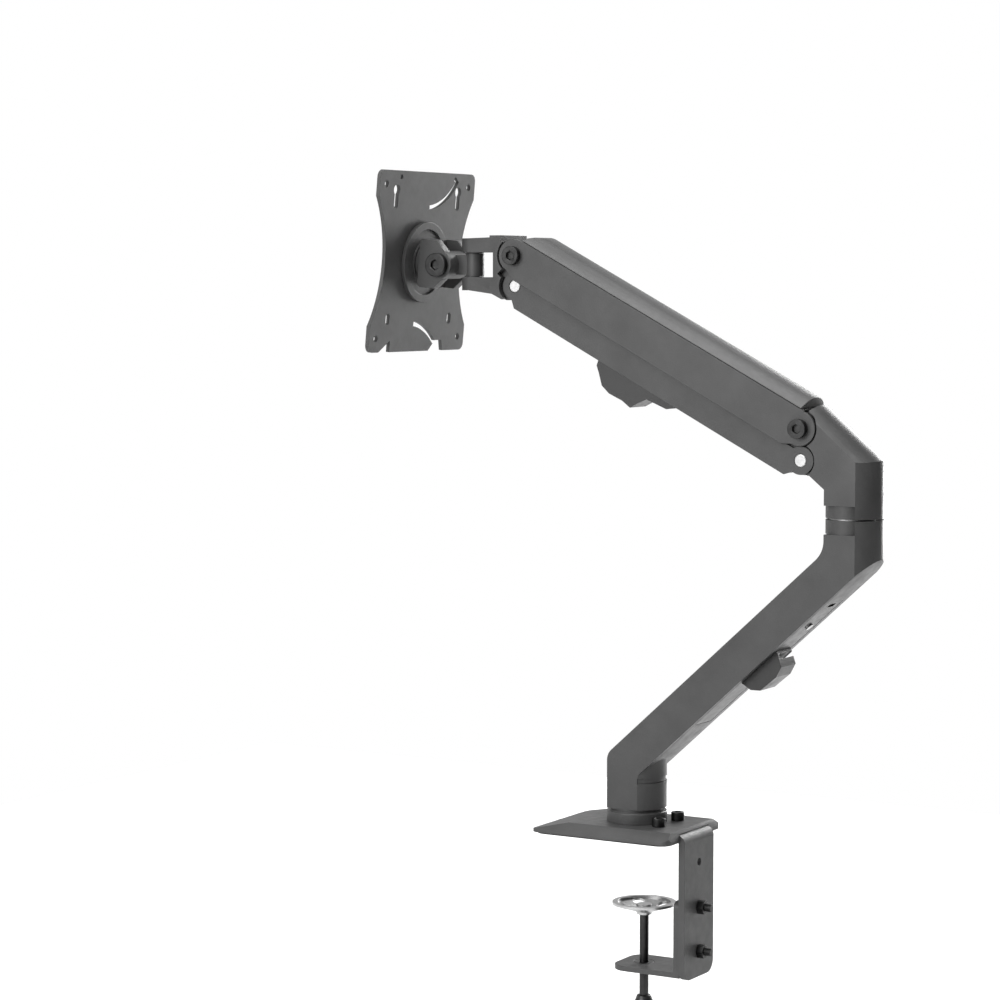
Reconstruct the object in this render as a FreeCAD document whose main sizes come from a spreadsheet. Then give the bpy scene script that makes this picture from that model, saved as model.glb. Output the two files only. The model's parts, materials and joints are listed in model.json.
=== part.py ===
"""Desk-clamp monitor arm with a sprung parallel link, as a FreeCAD document.

Frame: millimetres, +Z up.  The origin is on the base swivel axis, on the desk top.
The screen side is -Y, the elbow is towards +Y, and the arm lies in the plane X = 0.
Every size comes from the sheet "Sizes"; each piece is one object, exported by its label.
"""
import FreeCAD, Part
import math
import os
import re

import Sketcher
from FreeCAD import Placement, Rotation, Vector

doc = FreeCAD.newDocument("MonitorArm")
sizes = doc.addObject("Spreadsheet::Sheet", "Sizes")

CELLS = [
    # desk base
    ("pad_thick", 1.0), ("plate_top", 8.0), ("plate_edge", 3.0), ("plate_half", 37.5),
    ("plate_front", -57.5), ("plate_back", 41.6), ("slope_front", 24.0), ("slope_side", 8.0),
    ("slope_back", 2.0), ("screw_x", 13.0), ("screw_y", 22.5),
    ("strip_half", 20.1), ("strip_thick", 4.5), ("strip_outer", 44.8), ("strip_foot", -88.0),
    ("flange_front", 7.0), ("upper_bolt_z", -43.3), ("lower_bolt_z", -71.6), ("small_hole_z", -14.4),
    ("jaw_half", 18.6), ("jaw_top", -37.5), ("jaw_plate_top", -83.0), ("jaw_plate_thick", 3.4),
    ("jaw_front", -9.7), ("clamp_y", 5.5), ("clamp_radius", 2.95),
    ("disc_radius", 20.5), ("disc_top", -44.0), ("disc_foot", -52.0), ("knob_top", -104.5),
    ("knob_foot", -129.0), ("knob_radius", 17.5),
    # base swivel
    ("post_radius", 10.0), ("bush_radius", 12.0), ("running", 0.05), ("collar_top", 15.2),
    ("arm_foot", 15.9), ("flat_foot", 17.5), ("post_top", 42.0), ("neck_radius", 19.0),
    ("neck_front_radius", 16.4),
    # lower arm
    ("bar_half", 16.75), ("bar_front", -12.8), ("bar_back", 7.3), ("arm_slope", 42.2),
    ("slope_top_y", 77.4), ("slope_top_z", 134.0), ("slope_foot_y", 92.8), ("slope_foot_z", 115.75),
    ("elbow_y", 148.0), ("elbow_front", 136.4), ("elbow_back", 157.0), ("flat_top", 198.5),
    ("seam_low", 207.2), ("seam_high", 208.2), ("shaft_radius", 6.0),
    # elbow bracket
    ("flat_low", 216.1), ("bracket_knee", 225.8), ("crown_y", 130.7), ("crown_z", 274.7),
    ("crown_slope", 40.8), ("crown_radius", 23.8), ("bracket_front_z", 233.9),
    # parallel link
    ("rear_y", 119.5), ("rear_z", 262.3), ("pivot_rise", 19.5), ("link_length", 228.0),
    ("link_angle", 27.6), ("cheek_top", 11.2), ("cheek_foot", -14.0), ("cheek_end", 10.6),
    ("cheek_thick", 2.0), ("tongue_half", 12.15), ("slot_half", 8.4), ("stub_radius", 4.0),
    ("inner_low", 12.45), ("inner_high", 14.45), ("lower_top", 4.5), ("lower_foot", -13.0),
    ("cover_rear", -4.5), ("cover_front", -226.0), ("cover_rise", 7.2),
    # strut
    ("anchor_drop", 12.0), ("strut_front", -198.0), ("strut_offset", -4.0), ("tube_radius", 8.0),
    ("rod_radius", 3.5), ("tube_end", 160.0), ("anchor_radius", 3.0),
    # head
    ("swivel_y", -121.0), ("fork_low", 354.2), ("fork_high", 370.2), ("lug_radius", 8.5),
    ("head_top", 381.0), ("barrel_radius", 6.0), ("tilt_y", -139.5), ("tilt_z", 362.2),
    ("tilt_rest", 5.2), ("ear_radius", 9.5), ("ear_low", 9.5), ("ear_high", 16.0),
    ("hub_front", -15.0), ("plate_side", 58.0), ("plate_rise", 59.0), ("waist_half", 45.6),
    ("waist_radius", 77.3), ("vesa_large", 50.0), ("vesa_small", 37.5), ("vesa_hole", 2.25),
    ("disc_plate_radius", 26.5),
]
for row, (alias, number) in enumerate(CELLS, start=1):
    sizes.set("A%d" % row, alias)
    sizes.set("B%d" % row, str(number))
    sizes.setAlias("B%d" % row, alias)
doc.recompute()

ALIASES = {alias for alias, number in CELLS}
TURNS = {
    "X": Rotation(Vector(0, 1, 0), 90),
    "Y": Rotation(Vector(1, 0, 0), -90),
    "Z": Rotation(),
}


def formula(words):
    """The same formula with each alias looked up in the sheet."""
    return re.sub(r"[a-z][a-z_]*", lambda m: "Sizes." + m.group(0) if m.group(0) in ALIASES else m.group(0),
                  str(words))


def value(words):
    """The number that a formula of the sheet gives."""
    return float(sizes.evalExpression(str(words)))


def bind(thing, **formulas):
    for name, words in formulas.items():
        thing.setExpression(name, formula(words))
    return thing


def stand(thing, at, along="Z"):
    """Turn a primitive so that its own Z runs along an axis, and bind its start point."""
    thing.Placement = Placement(Vector(*[value(word) for word in at]), TURNS[along])
    for axis, words in zip("xyz", at):
        thing.setExpression("Placement.Base." + axis, formula(words))
    return thing


def cylinder(name, radius, length, at, along="Z"):
    return stand(bind(doc.addObject("Part::Cylinder", name), Radius=radius, Height=length), at, along)


def cone(name, start_radius, end_radius, length, at, along="Z"):
    thing = bind(doc.addObject("Part::Cone", name), Radius1=start_radius, Radius2=end_radius, Height=length)
    return stand(thing, at, along)


def prism(name, across, length, at, along="Z"):
    """A hexagonal bar, sized across its flats."""
    thing = doc.addObject("Part::Prism", name)
    thing.Polygon = 6
    bind(thing, Circumradius="(%s) / 2 / cos(30)" % across, Height=length)
    return stand(thing, at, along)


def box(name, low, high):
    """A box between two corners."""
    thing = doc.addObject("Part::Box", name)
    spans = ["(%s) - (%s)" % (b, a) for a, b in zip(low, high)]
    return stand(bind(thing, Length=spans[0], Width=spans[1], Height=spans[2]), low)


def cross_box(name, half, low, high):
    """A box that is symmetric in X, between two (y, z) corners."""
    return box(name, ("-(%s)" % half,) + tuple(low), (half,) + tuple(high))


def cross_bar(name, radius, half, at):
    """A round bar along X, symmetric about X = 0, through a (y, z) point."""
    return cylinder(name, radius, "2 * (%s)" % half, ("-(%s)" % half,) + tuple(at), "X")


def extrude(name, plane, corners, length):
    """A straight-sided outline on one of the body's own planes, padded both ways."""
    body = doc.addObject("PartDesign::Body", name)
    sketch = body.newObject("Sketcher::SketchObject", name + "_outline")
    face = [feature for feature in body.Origin.OriginFeatures if feature.Role == plane][0]
    sketch.AttachmentSupport = [(face, "")]
    sketch.MapMode = "FlatFace"
    points = [Vector(value(across), value(up), 0) for across, up in corners]
    count = len(points)
    for index, start in enumerate(points):
        sketch.addGeometry(Part.LineSegment(start, points[(index + 1) % count]), False)
    for index in range(count):
        sketch.addConstraint(Sketcher.Constraint("Coincident", index, 2, (index + 1) % count, 1))
    for index, corner in enumerate(corners):
        for kind, words in zip(("DistanceX", "DistanceY"), corner):
            place = sketch.addConstraint(Sketcher.Constraint(kind, -1, 1, index, 1, value(words)))
            sketch.setExpression("Constraints[%d]" % place, formula(words))
    pad = body.newObject("PartDesign::Pad", name + "_pad")
    pad.Profile = sketch
    pad.SideType = "Symmetric"
    bind(pad, Length=length)
    return body


def side_plate(name, corners, half):
    """A (y, z) outline, padded to both sides of X = 0."""
    return extrude(name, "YZ_Plane", corners, "2 * (%s)" % half)


def fuse(name, *pieces):
    thing = doc.addObject("Part::MultiFuse", name)
    thing.Shapes = list(pieces)
    thing.Refine = True
    return thing


def common(name, *pieces):
    thing = doc.addObject("Part::MultiCommon", name)
    thing.Shapes = list(pieces)
    return thing


def cut(name, base, *tools):
    thing = doc.addObject("Part::Cut", name)
    thing.Base = base
    thing.Tool = tools[0] if len(tools) == 1 else fuse(name + "_tools", *tools)
    thing.Refine = True
    return thing


def round_edges(name, base, radius, wanted):
    """Fillet the edges whose middle point and direction pass a test."""
    doc.recompute()
    thing = doc.addObject("Part::Fillet", name)
    thing.Base = base
    chosen = []
    for number, edge in enumerate(base.Shape.Edges, start=1):
        middle = edge.valueAt((edge.FirstParameter + edge.LastParameter) / 2)
        along = edge.tangentAt((edge.FirstParameter + edge.LastParameter) / 2)
        if wanted(edge, middle, along):
            chosen.append((number, value(radius), value(radius)))
    thing.Edges = chosen
    return thing


nodes = {}


def node(label, thing, place=None):
    """Name a finished piece, and stand it in its own frame where it has one."""
    thing.Label = label
    if place is not None:
        thing.Placement = place
    nodes[label] = thing


LINK = Placement(Vector(0, value("rear_y"), value("rear_z")), Rotation(Vector(1, 0, 0), -value("link_angle")))
LOWER = Placement(Vector(0, value("rear_y"), value("rear_z - pivot_rise")),
                  Rotation(Vector(1, 0, 0), -value("link_angle")))
HEAD = Placement(Vector(0, value("tilt_y"), value("tilt_z")), Rotation(Vector(1, 0, 0), -value("tilt_rest")))
FRONT_Y = "(rear_y - link_length * cos(link_angle))"
FRONT_Z = "(rear_z + link_length * sin(link_angle))"
anchor = LINK.inverse().multVec(Vector(0, value("rear_y"), value("rear_z - anchor_drop")))
strut_start = Vector(0, value("strut_front"), value("strut_offset"))
strut_run = anchor - strut_start
STRUT_DIP = math.degrees(math.atan2(-strut_run.z, strut_run.y))
STRUT_LENGTH = strut_run.Length
STRUT = Placement(LINK.multVec(strut_start), Rotation(Vector(1, 0, 0), -value("link_angle") - STRUT_DIP))


def underside_z(y):
    return "(slope_foot_z + ((%s) - slope_foot_y) * tan(arm_slope))" % y


def topside_z(y):
    return "(slope_top_z + ((%s) - slope_top_y) * tan(arm_slope))" % y


# ---------------------------------------------------------------- desk base
def build_base_plate():
    slab = box("plate_slab", ("-plate_half", "plate_front", "pad_thick"), ("plate_half", "plate_back", "plate_edge"))
    rise = doc.addObject("Part::Wedge", "plate_rise_block")
    bind(rise, Xmin="-plate_half", Xmax="plate_half", Ymin="plate_edge", Ymax="plate_top",
         Zmin="-plate_back", Zmax="-plate_front", X2min="slope_side - plate_half",
         X2max="plate_half - slope_side", Z2min="slope_back - plate_back",
         Z2max="-plate_front - slope_front")
    rise.Placement = Placement(Vector(), Rotation(Vector(1, 0, 0), 90))
    blank = fuse("plate_blank", slab, rise)
    room = box("plate_room", ("-plate_half", "plate_front", "0"), ("plate_half", "plate_back", "plate_top + 1"))
    corners = round_edges("plate_corners", room, "6", lambda edge, middle, along: abs(along.z) > 0.9)
    rounded = common("plate_rounded", blank, corners)
    piece = cut("base_plate_piece", rounded,
                box("flange_room", ("-strip_half - 0.3", "flange_front - 0.3", "0"),
                    ("strip_half + 0.3", "plate_back + 9", "pad_thick + strip_thick + 0.1")),
                cylinder("post_bolt_way", "4.1", "plate_top", ("0", "0", "0.5")),
                cylinder("post_bolt_head_way", "7", "3", ("0", "0", "0")),
                cylinder("screw_way_left", "2.7", "plate_top", ("-screw_x", "screw_y", "0.5")),
                cylinder("screw_way_right", "2.7", "plate_top", ("screw_x", "screw_y", "0.5")))
    node("base_plate", piece)


def build_base_pad():
    sheet = box("pad_sheet", ("1.5 - plate_half", "plate_front + 1.5", "0"),
                ("plate_half - 1.5", "strip_outer - strip_thick - 0.5", "pad_thick"))
    rounded = round_edges("pad_rounded", sheet, "8", lambda edge, middle, along: abs(along.z) > 0.9)
    node("base_pad", cut("base_pad_piece", rounded, cylinder("pad_hole", "8.5", "3", ("0", "0", "-1"))))


def build_clamp_bracket():
    inner = "(strip_outer - strip_thick)"
    strip = side_plate("strip_blank", [
        ("flange_front", "pad_thick"), (inner, "pad_thick"), (inner, "strip_foot"),
        ("strip_outer", "strip_foot"), ("strip_outer", "pad_thick + strip_thick"),
        ("flange_front", "pad_thick + strip_thick")], "strip_half")
    bend = round_edges("strip_bend", strip, "6", lambda edge, middle, along:
                       abs(along.x) > 0.9 and middle.y > value("strip_outer") - 0.1 and middle.z > 0)
    feet = round_edges("strip_feet", bend, "8", lambda edge, middle, along:
                       abs(along.y) > 0.9 and middle.z < value("strip_foot") + 0.1 and abs(middle.x) > 1)
    ways = [cylinder("strip_way_%d" % number, radius, "20", ("0", "strip_outer - 10", height), "Y")
            for number, (radius, height) in enumerate(
                [("2.7", "upper_bolt_z"), ("2.7", "lower_bolt_z"), ("2.6", "small_hole_z")])]
    ways += [cylinder("flange_way_" + side, "2.5", "20", (sign + "screw_x", "screw_y", "-5"))
             for side, sign in (("left", "-"), ("right", ""))]
    node("clamp_bracket", cut("clamp_bracket_piece", feet, *ways))


def build_bracket_screws():
    screws = []
    for side, sign in (("left", "-"), ("right", "")):
        at = (sign + "screw_x", "screw_y")
        whole = fuse("bracket_screw_" + side,
                     cylinder("bracket_head_" + side, "4.25", "5.5", at + ("plate_top",)),
                     cylinder("bracket_shank_" + side, "2.45", "plate_top - 1.2", at + ("1.3",)))
        screws.append(cut("bracket_screw_cut_" + side, whole,
                          prism("bracket_socket_" + side, "4", "4", at + ("plate_top + 2.5",))))
    both = doc.addObject("Part::Compound", "bracket_screws_piece")
    both.Links = screws
    node("bracket_screws", both)


def build_jaw():
    inner = "(strip_outer - strip_thick)"
    jaw = side_plate("jaw_blank", [
        ("jaw_front", "jaw_plate_top - jaw_plate_thick"), (inner, "jaw_plate_top - jaw_plate_thick"),
        (inner, "jaw_top"), (inner + " - 4.3", "jaw_top"), (inner + " - 4.3", "jaw_plate_top"),
        ("jaw_front", "jaw_plate_top")], "jaw_half")
    noses = round_edges("jaw_noses", jaw, "10", lambda edge, middle, along:
                        abs(along.z) > 0.9 and middle.y < value("jaw_front") + 0.1)
    tops = round_edges("jaw_tops", noses, "5", lambda edge, middle, along:
                       abs(along.y) > 0.9 and middle.z > value("jaw_top") - 0.1)
    node("lower_jaw", cut("lower_jaw_piece", tops,
                          cylinder("jaw_way_upper", "2.7", "20", ("0", inner + " - 10", "upper_bolt_z"), "Y"),
                          cylinder("jaw_way_lower", "2.7", "20", ("0", inner + " - 10", "lower_bolt_z"), "Y"),
                          cylinder("jaw_nut_way", "6.5", "20", ("0", "clamp_y", "jaw_plate_top - 12"))))
    nut = fuse("jaw_nut_whole",
               cylinder("jaw_nut_barrel", "6.5", "jaw_plate_thick", ("0", "clamp_y", "jaw_plate_top - jaw_plate_thick")),
               cylinder("jaw_nut_flange", "8.5", "1.6", ("0", "clamp_y", "jaw_plate_top - jaw_plate_thick - 1.6")))
    node("jaw_thread_nut", cut("jaw_nut_piece", nut, cylinder("jaw_nut_bore", "clamp_radius + running", "20",
                                                             ("0", "clamp_y", "jaw_plate_top - 12"))))


def build_jaw_fasteners():
    bolts, nuts = [], []
    inner = "(strip_outer - strip_thick - 4.3)"
    for number, height in enumerate(("upper_bolt_z", "lower_bolt_z")):
        bolts.append(fuse("jaw_bolt_%d" % number,
                          cone("jaw_bolt_head_%d" % number, "3.6", "5", "2.4", ("0", inner + " - 2.4", height), "Y"),
                          cylinder("jaw_bolt_shank_%d" % number, "2.45", "18", ("0", inner + " - 0.2", height), "Y")))
        nuts.append(cut("jaw_nut_%d" % number,
                        prism("jaw_hex_%d" % number, "8", "4.6", ("0", "strip_outer", height), "Y"),
                        cylinder("jaw_hex_way_%d" % number, "2.5", "9", ("0", "strip_outer - 2", height), "Y")))
    for label, pieces in (("jaw_bolts", bolts), ("jaw_nuts", nuts)):
        pair = doc.addObject("Part::Compound", label + "_piece")
        pair.Links = pieces
        node(label, pair)


def build_clamp_screw():
    at = ("0", "clamp_y")
    dish = cut("disc_dish",
               cone("disc_outside", "5", "disc_radius", "disc_top - 1.6 - disc_foot - 1.5", at + ("disc_foot + 1.5",)),
               cone("disc_inside", "3.2", "disc_radius - 1.8", "disc_top - 1.6 - disc_foot - 1.5",
                    at + ("disc_foot + 3",)))
    rim = cut("disc_rim", cylinder("disc_rim_outside", "disc_radius", "1.6", at + ("disc_top - 1.6",)),
              cylinder("disc_rim_inside", "disc_radius - 3.5", "9", at + ("disc_top - 5",)))
    hub = cylinder("disc_hub", "5", "6.5", at + ("disc_foot",))
    windows = [cylinder("disc_window_%d" % number, "4.2", "30",
                        ("12.4 * cos(%d)" % turn, "clamp_y + 12.4 * sin(%d)" % turn, "disc_foot - 5"))
               for number, turn in enumerate((45, 135, 225, 315))]
    node("clamp_pad_disc", cut("disc_piece", fuse("disc_whole", dish, rim, hub),
                               cylinder("disc_socket", "clamp_radius + running", "4.5", at + ("disc_foot",)), *windows))
    node("clamp_screw", cylinder("clamp_screw_piece", "clamp_radius", "disc_foot + 4.2 - knob_foot - 6",
                                 at + ("knob_foot + 6",)))
    lobes = [cylinder("knob_lobe_%d" % number, "4", "12",
                      ("(knob_radius - 4) * cos(%d)" % turn, "clamp_y + (knob_radius - 4) * sin(%d)" % turn,
                       "knob_foot")) for number, turn in enumerate(range(0, 360, 60))]
    knob = fuse("knob_whole", cone("knob_neck", "8.5", "5.6", "14", at + ("knob_top - 14",)),
                cylinder("knob_core", "knob_radius - 3.6", "12", at + ("knob_foot",)), *lobes)
    node("clamp_knob", cut("knob_piece", knob,
                           cylinder("knob_bore", "clamp_radius", "30", at + ("knob_foot + 6",))))


# ---------------------------------------------------------------- base swivel
def build_base_swivel():
    collar = round_edges("collar_rounded", cylinder("collar_blank", "neck_radius + 0.3", "collar_top - plate_top",
                                                   ("0", "0", "plate_top")),
                         "0.8", lambda edge, middle, along: middle.z > value("collar_top") - 0.1)
    node("base_collar", cut("base_collar_piece", collar, cylinder("collar_way", "post_radius", "20", ("0", "0", "0"))))
    post = cylinder("post_barrel", "post_radius", "post_top - plate_top", ("0", "0", "plate_top"))
    node("pivot_post", cut("pivot_post_piece", post,
                           cylinder("post_thread", "4.05", "20", ("0", "0", "plate_top - 1")),
                           cylinder("post_thread_top", "3.05", "16", ("0", "0", "post_top - 15"))))
    node("post_bolt", fuse("post_bolt_piece",
                           cylinder("post_bolt_head", "6.8", "2.2", ("0", "0", "0.8")),
                           cylinder("post_bolt_shank", "4", "plate_top + 14", ("0", "0", "pad_thick"))))
    node("glide_washer", cut("glide_washer_piece",
                             cylinder("glide_ring", "neck_radius - 1.2", "arm_foot - collar_top", ("0", "0", "collar_top")),
                             cylinder("glide_way", "post_radius + running", "30", ("0", "0", "0"))))
    node("post_cap_screw", fuse("post_cap_piece",
                                cylinder("cap_washer", "11.2", "1.5", ("0", "0", "post_top")),
                                cylinder("cap_head", "5", "2.6", ("0", "0", "post_top + 1.5")),
                                cylinder("cap_shank", "3", "14", ("0", "0", "post_top - 12"))))
    node("base_bush", cut("base_bush_piece",
                          cylinder("bush_barrel", "bush_radius", "post_top - 0.3 - arm_foot", ("0", "0", "arm_foot")),
                          cylinder("bush_bore", "post_radius + running", "60", ("0", "0", "0"))))


# ---------------------------------------------------------------- lower arm
def build_lower_arm():
    bar = side_plate("arm_bar", [
        ("bar_front", "flat_foot"), ("bar_front", topside_z("bar_front")),
        ("elbow_front", topside_z("elbow_front")), ("elbow_front", "flat_top"), ("elbow_back", "flat_top"),
        ("elbow_back", underside_z("elbow_back")), ("bar_back", underside_z("bar_back")),
        ("bar_back", "flat_foot")], "bar_half")

    def corner(y, z):
        return lambda edge, middle, along: (abs(along.x) > 0.9 and abs(middle.y - value(y)) < 0.5
                                            and abs(middle.z - value(z)) < 0.5)

    for name, radius, y, z in (("arm_front_knee", "9", "bar_front", topside_z("bar_front")),
                               ("arm_top_knee", "16", "elbow_front", topside_z("elbow_front")),
                               ("arm_back_knee", "5", "elbow_back", underside_z("elbow_back")),
                               ("arm_foot_knee", "14", "bar_back", underside_z("bar_back"))):
        bar = round_edges(name, bar, radius, corner(y, z))
    boss = common("arm_boss",
                  cylinder("boss_round", "neck_radius", "34", ("0", "0", "arm_foot")),
                  box("boss_room", ("-bar_half", "bar_front", "flat_foot"), ("bar_half", "30", "60")))
    head_block = side_plate("elbow_block", [
        ("elbow_y + 8.9", "seam_low"), ("elbow_y + 8.9", "flat_top"), ("elbow_front", "flat_top"),
        ("elbow_front", underside_z("elbow_front")), ("elbow_y + 25", underside_z("(elbow_y + 25)")),
        ("elbow_y + 25", "seam_low")], "bar_half")
    elbow = common("arm_elbow", head_block, cylinder("elbow_round", "neck_radius", "90", ("0", "elbow_y", "140")))
    foot_ring = cylinder("foot_neck", "bar_half", "flat_foot - arm_foot", ("0", "0", "arm_foot"))
    top_ring = cylinder("top_neck", "neck_front_radius", "seam_low - flat_top", ("0", "elbow_y", "flat_top"))
    whole = fuse("arm_whole", bar, boss, elbow, foot_ring, top_ring)
    ways = [cylinder("bush_way", "bush_radius", "post_top - arm_foot + 5.5", ("0", "0", "arm_foot")),
            cylinder("shaft_way", "shaft_radius", "60", ("0", "elbow_y", "seam_low - 26"))]
    groove = cut("boss_groove", cylinder("groove_outside", "30", "3.4", ("0", "0", "34.4")),
                 cylinder("groove_inside", "neck_radius - 0.7", "9", ("0", "0", "30")),
                 box("groove_front", ("-40", "-40", "30"), ("40", "bar_back + 1.6", "42")))
    node("lower_arm", cut("lower_arm_piece", whole, groove, underside_recess("strip", "11.3", "-62", "60", "1.8"),
                          underside_recess("channel", "9", "-58", "56", "22"), *ways))


def arm_slope_place():
    """On the underside of the slope, +Y climbing along it and +Z into the bar."""
    return Placement(Vector(0, value("slope_foot_y"), value("slope_foot_z")),
                     Rotation(Vector(1, 0, 0), value("arm_slope")))


def underside_recess(name, half, start, end, depth):
    thing = doc.addObject("Part::Box", name + "_recess")
    bind(thing, Length="2 * (%s)" % half, Width="(%s) - (%s)" % (end, start), Height="(%s) + 2" % depth)
    thing.Placement = arm_slope_place().multiply(Placement(Vector(-value(half), value(start), -2), Rotation()))
    return thing


def build_underside():
    cover = cross_box("cover_strip", "11", ("-61.7", "0.1"), ("59.7", "1.7"))
    strip = cut("underside_cover_piece", cover,
                cylinder("cover_screw_way", "1.6", "12", ("0", "36", "-6")),
                cross_box("cover_slot", "4.5", ("55", "-2"), ("58", "4")))
    node("underside_cover", strip, arm_slope_place())
    screw = fuse("cover_screw_piece", cylinder("cover_screw_head", "2.6", "1.1", ("0", "36", "-1")),
                 cylinder("cover_screw_shank", "1.5", "1.6", ("0", "36", "0")))
    node("cover_screw", screw, arm_slope_place())
    shell = [("-19", "0"), ("-17", "-7"), ("-12", "-11.5"), ("2", "-12"), ("9", "-9.5"), ("12.5", "-1.5"), ("13", "0")]
    room = [("-24", "-2"), ("-24", "-5"), ("-15.6", "-6.3"), ("-11.3", "-9.6"), ("1.7", "-10.1"), ("7.8", "-7.9"),
            ("9.6", "-4.8"), ("18", "-4.8"), ("18", "-2")]
    node("lower_cable_clip", clip_piece("lower_clip", shell, room), arm_slope_place())


def clip_piece(name, shell, room):
    """A cable clip hung under a flat face: a shell with a tunnel along it, slit along its left side."""
    outer = side_plate(name + "_outer", shell, "10.5")
    tunnel = side_plate(name + "_tunnel", room, "8.4")
    slit = box(name + "_slit", ("-12", room[0][0], "-4.8"), ("-8", room[-1][0], "-2.4"))
    return cut(name + "_piece", outer, tunnel, slit)


def build_elbow_shaft():
    shaft = fuse("elbow_shaft_whole",
                 cylinder("shaft_low", "shaft_radius", "25.7", ("0", "elbow_y", "seam_low - 25.7")),
                 cylinder("shaft_high", "shaft_radius", "22", ("0", "elbow_y", "seam_low")),
                 cylinder("shaft_thread", "3.95", "8", ("0", "elbow_y", "seam_low + 22")))
    node("elbow_shaft", shaft)
    node("elbow_washer", cut("elbow_washer_piece",
                             cylinder("elbow_washer_disc", "neck_front_radius - 2.4", "seam_high - seam_low - 0.1",
                                      ("0", "elbow_y", "seam_low")),
                             cylinder("elbow_washer_way", "shaft_radius", "20", ("0", "elbow_y", "seam_low - 9"))))
    node("elbow_nut", cut("elbow_nut_piece", prism("elbow_hex", "13", "5.5", ("0", "elbow_y", "seam_low + 23.2")),
                          cylinder("elbow_hex_way", "3.95", "20", ("0", "elbow_y", "seam_low + 15"))))


# ---------------------------------------------------------------- elbow bracket
def turned_box(name, half, low, high, place):
    """A box in its own (y, z) frame, stood where a placement says."""
    thing = doc.addObject("Part::Box", name)
    bind(thing, Length="2 * (%s)" % half, Width="(%s) - (%s)" % (high[0], low[0]),
         Height="(%s) - (%s)" % (high[1], low[1]))
    thing.Placement = place.multiply(Placement(Vector(-value(half), value(low[0]), value(low[1])), Rotation()))
    return thing


def layer(name, tool):
    """Keep only what a tool removes outside the tongue."""
    inner = cross_box(name + "_core", "tongue_half", ("-400", "-400"), ("400", "500"))
    return cut(name, tool, inner)


def pie(name, radius, start, sweep, at):
    """A sector of a disc about an X axis; angles run from -Y through -Z."""
    thing = bind(doc.addObject("Part::Cylinder", name), Radius=radius, Height="60", Angle=sweep)
    axes = Rotation(Vector(0, -1, 0), Vector(0, 0, -1), Vector(1, 0, 0), "ZXY")
    turn = Rotation(Vector(1, 0, 0), value(start)).multiply(axes)
    thing.Placement = Placement(Vector(-30, value(at[0]), value(at[1])), turn)
    return thing


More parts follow.
